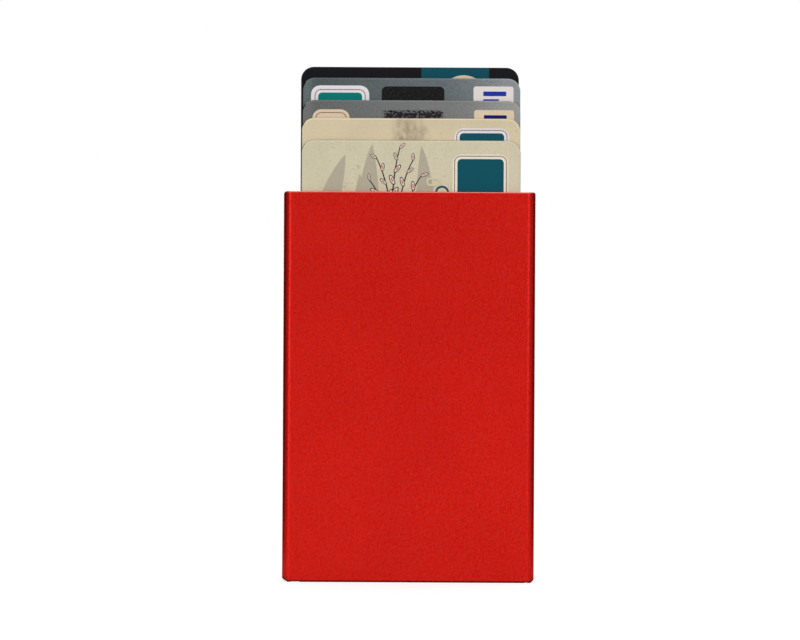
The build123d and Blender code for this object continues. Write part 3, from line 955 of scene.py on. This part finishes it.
def label(number, left, right, top, bottom, insets, border, line, field):
    """Return a bordered label: a pale plate, a dashed line, a coloured field and two bars."""
    face = card_face(number, "front")
    edge, deep = insets
    inner = rounded(left + deep, right - deep, top + deep, bottom - deep, FIELD_CORNER)
    meshes = [
        plate(face, rounded(left, right, top, bottom, LABEL_CORNER), BASE_LEVEL, border),
        plate(face, inner, FIELD_LEVEL, field),
    ]
    width, height = right - left - 2 * edge, bottom - top - 2 * edge
    middle = Vector(((left + right) / 2, 0, -(top + bottom) / 2)) * MM
    values = {"Width": width, "Height": height, "Corner": BORDER_CORNER, "Ink": line}
    values["Dashes"] = round(2 * (width + height) / DASH_PITCH)
    values.update({"Place": tuple(Vector(face["Place"]) + middle), "Turn": face["Turn"]})
    meshes.append(grow(border_tree, values))
    for bar, share in enumerate(BAR_SHARES):
        start = left + deep + BAR_MARGIN
        end = start + share * (right - left - 2 * deep - BAR_MARGIN)
        drop = bottom - deep - FIRST_BAR_RISE - BAR_PITCH * bar
        bar_outline = rounded(start, end, drop, drop + BAR_HEIGHT, BAR_CORNER, 3)
        meshes.append(plate(face, bar_outline, BAR_LEVEL, border))
    return meshes


print("a label's bars are", BAR_HEIGHT, "mm high")

# %% [markdown]
# ## Grass and husks
# The front card gets a quiet print of its own in ink, barley over pale leaves. It could be drawn
# by hand, point by point, but a stem is a rule: a quadratic curve with a flat profile that thins
# to its tip. The husks are slim discs on the upper part of the same curve. They splay outwards,
# alternately left and right, so each point's own rotation is turned a little more by its side.
# They are riper and larger lower down, and a random value with a fixed seed varies their size.

# %% The stem tree
LINE_SIZES = {"Foot": (0.0, -9.0, 0.0), "Bend": (1.0, -5.0, 0.0), "Tip": (0.0, 0.0, 0.0)}
STEM_THINNING = 0.55

stem_tree, given = new_tree("grass_stem", {**LINE_SIZES, "Width": 0.5, "Level": 0.13})


def bent_line(given):
    """Add a quadratic curve from a tree's Foot to its Tip."""
    ends = {"Resolution": 18, "Start": given["Foot"], "Middle": given["Bend"], "End": given["Tip"]}
    return lie_flat(given["Foot"].add("GeometryNodeCurveQuadraticBezier", ends))


stalk = bent_line(given)
share = stalk.add("GeometryNodeSplineParameter", output="Factor")
swept = {"Curve": stalk, "Profile Curve": rectangle(given["Width"], given["Level"])}
swept.update({"Scale": 1 - share * STEM_THINNING, "Fill Caps": True})
end_tree(stalk.add("GeometryNodeCurveToMesh", swept), given)
print("stem inputs:", list(given))

# %% The husk tree
husk_sizes = {
    **LINE_SIZES, "Husks": 8, "Half Length": 0.9, "Half Width": 0.4, "Level": 0.04,
    "Side Step": 0.45, "Splay": 0.55, "Seed": 1,
}
husk_tree, given = new_tree("barley_husks", husk_sizes)
upper = {"Curve": bent_line(given), "Start": 0.5, "End": 1.0}
upper = given["Foot"].add("GeometryNodeTrimCurve", upper, mode="FACTOR")
spots, sideways, along = points_along(upper, given["Husks"])
index = spots.add("GeometryNodeInputIndex")
side = index.maths("MODULO", index, 2.0) * 2 - 1
push = scaled(sideways, side * given["Side Step"])
spots = spots.add("GeometryNodeSetPosition", {"Geometry": spots, "Offset": push})
splay = {"Axis": (0.0, 1.0, 0.0), "Angle": side * given["Splay"]}
splay = {"Rotation": along, "Rotate By": spots.add("FunctionNodeAxisAngleToRotation", splay)}
splayed = spots.add("FunctionNodeRotateRotation", splay, rotation_space="LOCAL")
husk = {"Vertices": 20, "Depth": given["Level"]}
husk = spots.add("GeometryNodeMeshCylinder", husk, "Mesh")
slim = from_parts(spots, given["Half Width"], given["Half Length"], 1.0)
slim = {"Geometry": husk, "Scale": slim, "Rotation": (math.pi / 2, 0.0, 0.0)}
husk = spots.add("GeometryNodeTransform", slim)
spread = {"Min_001": 0.85, "Max_001": 1.1, "Seed": given["Seed"]}
chance = spots.add("FunctionNodeRandomValue", spread, "Value_001", data_type="FLOAT")
size = chance * (1.2 - index.maths("DIVIDE", index, given["Husks"]) * 0.5)
size = from_parts(spots, size, 1.0, size)
end_tree(stand_on(spots, husk, Rotation=splayed, Scale=size), given)
print("husk inputs:", list(husk_sizes))

# %% [markdown]
# ## Noughts and hatching
# Cards without raised figures have them printed, in the same groups of four up the card, and a
# signature panel on the back is ruled with fine lines. Both are a row of points with one shape
# on each, so one tree serves them: a ring or a bar is only its width, height and corner, and a
# gap after every few points is a selection on the point's index.

# %% The row tree
row_sizes = {
    "Start": (0.0, 0.0, 0.0), "Step": (0.0, -3.63, 0.0), "Count": 19, "Group": 4,
    "Width": 3.6, "Height": 2.1, "Corner": 1.0, "Stroke": 0.4, "Level": 0.03,
}
row_tree, given = new_tree("row_of_marks", row_sizes)
pen = given["Count"]
points = {"Count": given["Count"], "Start Location": given["Start"], "Offset": given["Step"]}
row = pen.add("GeometryNodeMeshLine", points, mode="OFFSET")
index = pen.add("GeometryNodeInputIndex")
place_in_group = index.maths("MODULO", index, given["Group"] + 1)
drawn = index.maths("LESS_THAN", place_in_group, given["Group"])
stroke = rectangle(given["Stroke"], given["Level"])
mark = {"Curve": rounded_loop(given, 5), "Profile Curve": stroke}
mark = pen.add("GeometryNodeCurveToMesh", mark)
end_tree(stand_on(row, mark, Selection=drawn), given)
print("row inputs:", list(row_sizes))

# %% [markdown]
# ## Printing the cards
# Each card's fronts and backs are now a list of calls. `gather` joins the meshes of one card
# into a single piece, keeps their inks apart as material slots, and lets the piece ride on the
# card's body.

# %% Join prints into a piece
prints = {number: [] for number in CARDS}


def gather(name, meshes, body):
    """Join meshes into one piece, and ride it on a body."""
    whole, inks = bmesh.new(), []
    for mesh in meshes:
        before = len(whole.faces)
        whole.from_mesh(mesh)
        whole.faces.ensure_lookup_table()
        for printed in whole.faces[before:]:
            used = mesh.materials[printed.material_index]
            if used not in inks:
                inks.append(used)
            printed.material_index = inks.index(used)
    joined = mesh_of(whole, name)
    for used in inks:
        joined.materials.append(used)
    piece = linked(name, joined)
    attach(piece, body)
    print(name, "faces", len(joined.polygons), "inks", len(inks))
    return piece

# %% The labels
prints[1] += label(1, 10.3, 24.0, 3.4, 19.4, (0.45, 1.15), CREAM, BROWN, TEAL)
prints[2] += label(2, 10.8, 24.2, 2.4, 18.4, (0.5, 1.2), LILAC, PLUM, TEAL)
prints[3] += label(3, -24.4, -15.2, 2.3, 15.3, (0.8, 2.4), PEACH, BROWN, SEA_GREEN)
prints[4] += label(4, -24.8, -10.4, 1.9, 17.9, (1.0, 1.75), LILAC, PLUM, SEA_GREEN)
print("labels: 4")

# %% [markdown]
# ## Tags, panels, a band and a badge
# The two grey cards have a pale tag at the right with blue bars, and a nearly black panel in the
# middle. On the deeper grey card the panel is a plain speckled foil. On the other its lacquer has
# crackled and flaked, most at its rim, and left a haze beside it. So the mask adds the nearness
# of the rim and a Voronoi texture's cracks to a noise. The black card has a teal band from end
# to end, with a round badge.

# %% Foils for the panels
speckled = ink("speckled_foil", (17, 17, 18), 0.4, flecks=(66, 62, 60), amount=0.4, size=0.45)

PATCH = (-7.9, 8.0, 2.35, 12.6)
HAZE_WIDTH = 1.2

crackled, place = begin("crackled_foil")
x, y, z = parts(place)
from_left = x - (card_middle[3] + PATCH[0])
from_right = card_middle[3] + PATCH[1] - x
from_top = card_top[3] - PATCH[2] - z
lacquered = x.maths("MINIMUM", from_left - HAZE_WIDTH, from_right)
lacquered = x.maths("MINIMUM", lacquered, from_top)
rim_wear = fade(lacquered, 1.3, 0.1) * 0.12 + fade(lacquered, 0.15, -0.15)
cells = {"Vector": place, "Scale": 2.2}
gap = place.add("ShaderNodeTexVoronoi", cells, "Distance", feature="DISTANCE_TO_EDGE")
flakes = grain(place, 0.5, 4.0, stretch=(0.7, 1, 1), shift=15.0)
bare = fade(flakes + rim_wear - gap * 0.12, 0.54, 0.62)
haze = fade(from_left, 0.0, HAZE_WIDTH) * fade(flakes, 0.2, 0.6) * 0.8
lacquer = blend(fade(flakes, 0.3, 0.5) * 0.4, colour(20, 19, 22), colour(58, 54, 60))
finish(
    place,
    height=bare * -0.01,
    Base_Color=blend(bare, lacquer, blend(haze, colour(122, 124, 123), colour(96, 93, 99))),
    Roughness=0.4 + bare * 0.15,
    Specular_IOR_Level=0.07,
)
print("the worn panel is", round(PATCH[1] - PATCH[0], 1), "mm wide")

# %% Tags, panels, band and badge
TAG_CORNER, TAG_BAR_CORNER = 0.6, 0.2
TAG_BAR_HEIGHT, TAG_BAR_PITCH, FIRST_TAG_BAR = 1.15, 1.9, 1.25
TAG_BAR_START, TAG_BAR_ENDS = 2.4, (1.8, 3.6, 1.8)
PANEL = (-7.3, 8.2, 2.05, 12.6)
END_TO_END = (0.02, 2 * CARD_HALF_HEIGHT - 0.02, 0.01, 1)
BADGE = (13.3, 7.9)


def tag(number, left, right, top, bottom, pale, dark):
    """Return a pale tag with three bars across it."""
    face = card_face(number, "front")
    meshes = [plate(face, rounded(left, right, top, bottom, TAG_CORNER), BASE_LEVEL, pale)]
    for bar, end in enumerate(TAG_BAR_ENDS):
        drop = top + FIRST_TAG_BAR + TAG_BAR_PITCH * bar
        box = (left + TAG_BAR_START, right - end, drop, drop + TAG_BAR_HEIGHT)
        meshes.append(plate(face, rounded(*box, TAG_BAR_CORNER, 3), FIELD_LEVEL, dark))
    return meshes


prints[3] += tag(3, 15.55, 25.4, 2.3, 15.4, SAND, NAVY)
prints[4] += tag(4, 15.4, 25.3, 1.95, 15.2, PEARL, BLUE)
for number, outline, height, inked in (
    (3, rounded(*PATCH, 1.1), 0.02, crackled),
    (4, rounded(*PANEL, 1.2), 0.02, speckled),
    (5, rounded(2.8, 19.6, *END_TO_END), 0.012, BAND),
    (5, disc(*BADGE, 6.0), 0.02, PEACH),
    (5, disc(*BADGE, 5.2), 0.026, TEAL),
):
    prints[number].append(plate(card_face(number, "front"), outline, height, inked))
print("meshes so far:", {number: len(meshes) for number, meshes in prints.items()})

# %% [markdown]
# ## The front card's print
# Pale leaves come first, then the stems over them, and the husks last: a dark one, a smaller
# cream one on it, and a salmon kernel. Each layer is a little higher than the last, so a stem
# stays above the leaves where it thins. All of it is far enough above the chip.

# %% Leaves, stems and husks
LEAVES = (
    ((-21.0, 30.0), (-16.2, 3.6), 5.0, -1.6),
    ((-14.5, 34.0), (-12.6, 8.2), 4.4, 1.2),
    ((-8.0, 34.0), (-9.6, 0.9), 5.2, -1.4),
    ((0.5, 33.0), (2.6, 1.4), 4.6, 1.8),
)
STEMS = (
    ((-4.2, 30.0), (-5.6, 12.0), (-2.6, 1.3), 6),
    ((-4.6, 30.0), (-3.8, 13.0), (-8.8, 3.8), 5),
    ((-3.8, 30.0), (-3.6, 11.0), (0.9, 4.3), 5),
    ((-3.4, 30.0), (-1.8, 14.0), (3.0, 8.2), 4),
    ((-5.0, 30.0), (-5.4, 15.0), (-10.6, 9.4), 4),
)
HUSK_LAYERS = ((1.2, 0.52, 0.12, LINE), (0.95, 0.34, 0.13, CREAM), (0.62, 0.2, 0.14, SALMON))
LEAF_LEVEL, LEAF_STEP = 0.012, 0.004
RING, RING_RADII = (7.7, 12.9), (1.75, 1.25)

front = card_face(1, "front")
for layer, (foot, tip, width, bend) in enumerate(LEAVES):
    level = LEAF_LEVEL + LEAF_STEP * layer
    prints[1].append(plate(front, leaf(foot, tip, width, bend), level, STONE))
for seed, (foot, bend, tip, count) in enumerate(STEMS):
    ends = {"Foot": foot, "Bend": bend, "Tip": tip}
    drawn = {name: (x, -drop, 0.0) for name, (x, drop) in ends.items()}
    prints[1].append(grow(stem_tree, {**drawn, **front, "Ink": LINE}))
    for long, wide, level, tone in HUSK_LAYERS:
        husks = {"Husks": count, "Half Length": long, "Half Width": wide, "Level": level}
        husks.update({**drawn, **front, "Seed": seed, "Ink": tone})
        prints[1].append(grow(husk_tree, husks))
outer, inner = (disc(*RING, radius) for radius in RING_RADII)
prints[1].append(plate(front, outer, 0.02, TEAL, hole=inner))
print("meshes on the front card:", len(prints[1]))

# %% Printed noughts and the backs
STRIPE_INK = ink("stripe_ink", (38, 31, 28), 0.3, amount=0.15, size=0.2)
PANEL_INK = ink("panel_ink", (226, 222, 208), 0.6)
RULE_INK = ink("rule_ink", (178, 182, 190), 0.5)
SILVER = ink("silver_ink", (176, 178, 178), 0.3)
NOUGHTS = {"Start": (5.6, -22.0, 0.0), "Count": 15, "Ink": SILVER}
RULES = {
    "Start": (1.5, -9.6, 0.0), "Step": (0.0, -1.2, 0.0), "Count": 50, "Group": 100,
    "Width": 8.4, "Height": 0.12, "Corner": 0.05, "Stroke": 0.06, "Ink": RULE_INK,
}
STRIPE = (10.2, 22.9)
SIGNATURE_PANEL = (-3.5, 6.5, 8.0, 70.0)
PRINTED_FIGURES = (3, 4, 5)

for number in CARDS:
    back = card_face(number, "back")
    if number in PRINTED_FIGURES:
        prints[number].append(grow(row_tree, {**NOUGHTS, **card_face(number, "front")}))
    prints[number] += [
        plate(back, rounded(*STRIPE, *END_TO_END), 0.015, STRIPE_INK),
        plate(back, rounded(*SIGNATURE_PANEL, 0.8), 0.02, PANEL_INK),
        grow(row_tree, {**RULES, **back}),
    ]

for number in CARDS:
    gather(f"card_{number}_print", prints[number], f"card_{number}")

# %% [markdown]
# ## Felt that brushes the cards
# A felt strip lines each side and holds the cards by friction. The CAD solid is a plain box that
# says where the felt is. Felt is a mat of loose fibres with soft edges, so the box is replaced
# by a rounded, slightly uneven core with fibres on it. They could be particles, but an export
# can't carry those. Geometry Nodes scatter points with a fixed seed and stand a three sided
# needle on each, leaning at random, and the core is a little smaller so that the tips end where
# the CAD felt does.

# %% The fibre tree
fibre_sizes = {"Density": 14.0, "Length": 0.24, "Thickness": 0.011, "Lean": 0.8, "Seed": 3}
fibre_tree, given = new_tree("felt_fibres", fibre_sizes)
core = given["Geometry"]
scatter = {"Mesh": core, "Density": given["Density"], "Seed": given["Seed"]}
spots = core.add("GeometryNodeDistributePointsOnFaces", scatter, "Points")
outward = Wire(fibre_tree, spots.socket.node.outputs["Normal"])
lean = {"Min": (-1.0, -1.0, -1.0), "Max": (1.0, 1.0, 1.0), "Seed": given["Seed"]}
lean = spots.add("FunctionNodeRandomValue", lean, "Value", data_type="FLOAT_VECTOR")
heading = {"Vector": outward, "Vector_001": scaled(lean, given["Lean"])}
heading = spots.add("ShaderNodeVectorMath", heading, "Vector", operation="ADD")
heading = spots.add("FunctionNodeAlignRotationToVector", {"Vector": heading}, axis="Z")
needle = {"Vertices": 3, "Radius Bottom": given["Thickness"], "Depth": given["Length"]}
needle = spots.add("GeometryNodeMeshCone", needle, "Mesh")
fibres = stand_on(spots, needle, Rotation=heading)
both = spots.add("GeometryNodeJoinGeometry", {"Geometry": fibres})
both.tree.links.new(core.socket, both.socket.node.inputs[0])
end_tree(both, given)
print("fibre inputs:", list(fibre_sizes))

# %% Felt's finish
felt_material, place = begin("black_felt")
wool = grain(place, 0.18, 4.0)
tuft = grain(place, 1.4, 2.0, shift=12.0)
finish(
    place,
    height=wool * 0.05,
    Base_Color=blend(wool * 0.6 + tuft * 0.4, colour(20, 19, 20), colour(58, 56, 57)),
    Roughness=0.9 + wool * 0.1,
    Specular_IOR_Level=0.2,
    Sheen_Weight=0.3,
    Sheen_Roughness=0.5,
)
print("felt finish has", len(felt_material.node_tree.nodes), "nodes")

# %% Build the two strips
FELT_SHRINK, FELT_ROUND, FELT_UNEVEN, FELT_CUTS = 0.21, 0.3, 0.03, 60
CUT_ORDER = (3, 1, 6, 5, 4, 2)


def felt_core(node):
    """Return a rounded, slightly uneven bar a little smaller than a CAD node, in millimetres."""
    low, high = (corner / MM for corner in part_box(node))
    size, middle = high - low, (high + low) / 2
    shape = bmesh.new()
    bmesh.ops.create_cube(shape, size=1.0)
    for vert in shape.verts:
        vert.co = Vector(c * (s - 2 * FELT_SHRINK) for c, s in zip(vert.co, size))
    bmesh.ops.bevel(shape, geom=shape.edges[:], offset=FELT_ROUND, segments=3, affect="EDGES")
    long_edges = [edge for edge in shape.edges if edge.calc_length() > 0.8 * size.z]
    bmesh.ops.subdivide_edges(shape, edges=long_edges, cuts=FELT_CUTS, use_grid_fill=True)
    # The cut leaves its first six faces in an order that changes from run to run, and the fibres
    # are drawn face by face. So these six are told apart by height and put in one fixed order.
    shape.faces.index_update()
    first = sorted(shape.faces[:6], key=lambda face: face.calc_center_median().z)
    order = {first[height - 1]: spot for spot, height in enumerate(CUT_ORDER)}
    shape.faces.sort(key=lambda face: order.get(face, face.index))
    for vert in shape.verts:
        vert.co += Vector((1, 1, 0)) * FELT_UNEVEN * noise.noise(vert.co * 0.9 + middle)
        vert.co += middle
    return mesh_of(shape, "felt_core")


for node in ("left_felt_strip", "right_felt_strip"):
    values = {"Place": (0.0, 0.0, 0.0), "Turn": (0.0, 0.0, 0.0), "Ink": felt_material}
    fibred = grow(fibre_tree, values, base=felt_core(node))
    strip = gather(node.replace("strip", "pile"), [fibred], "holder")
    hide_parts(node)

# %% Finish
low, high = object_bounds()
print("box of the dressed part in mm:", [round(c / MM, 1) for c in (*low, *high)])
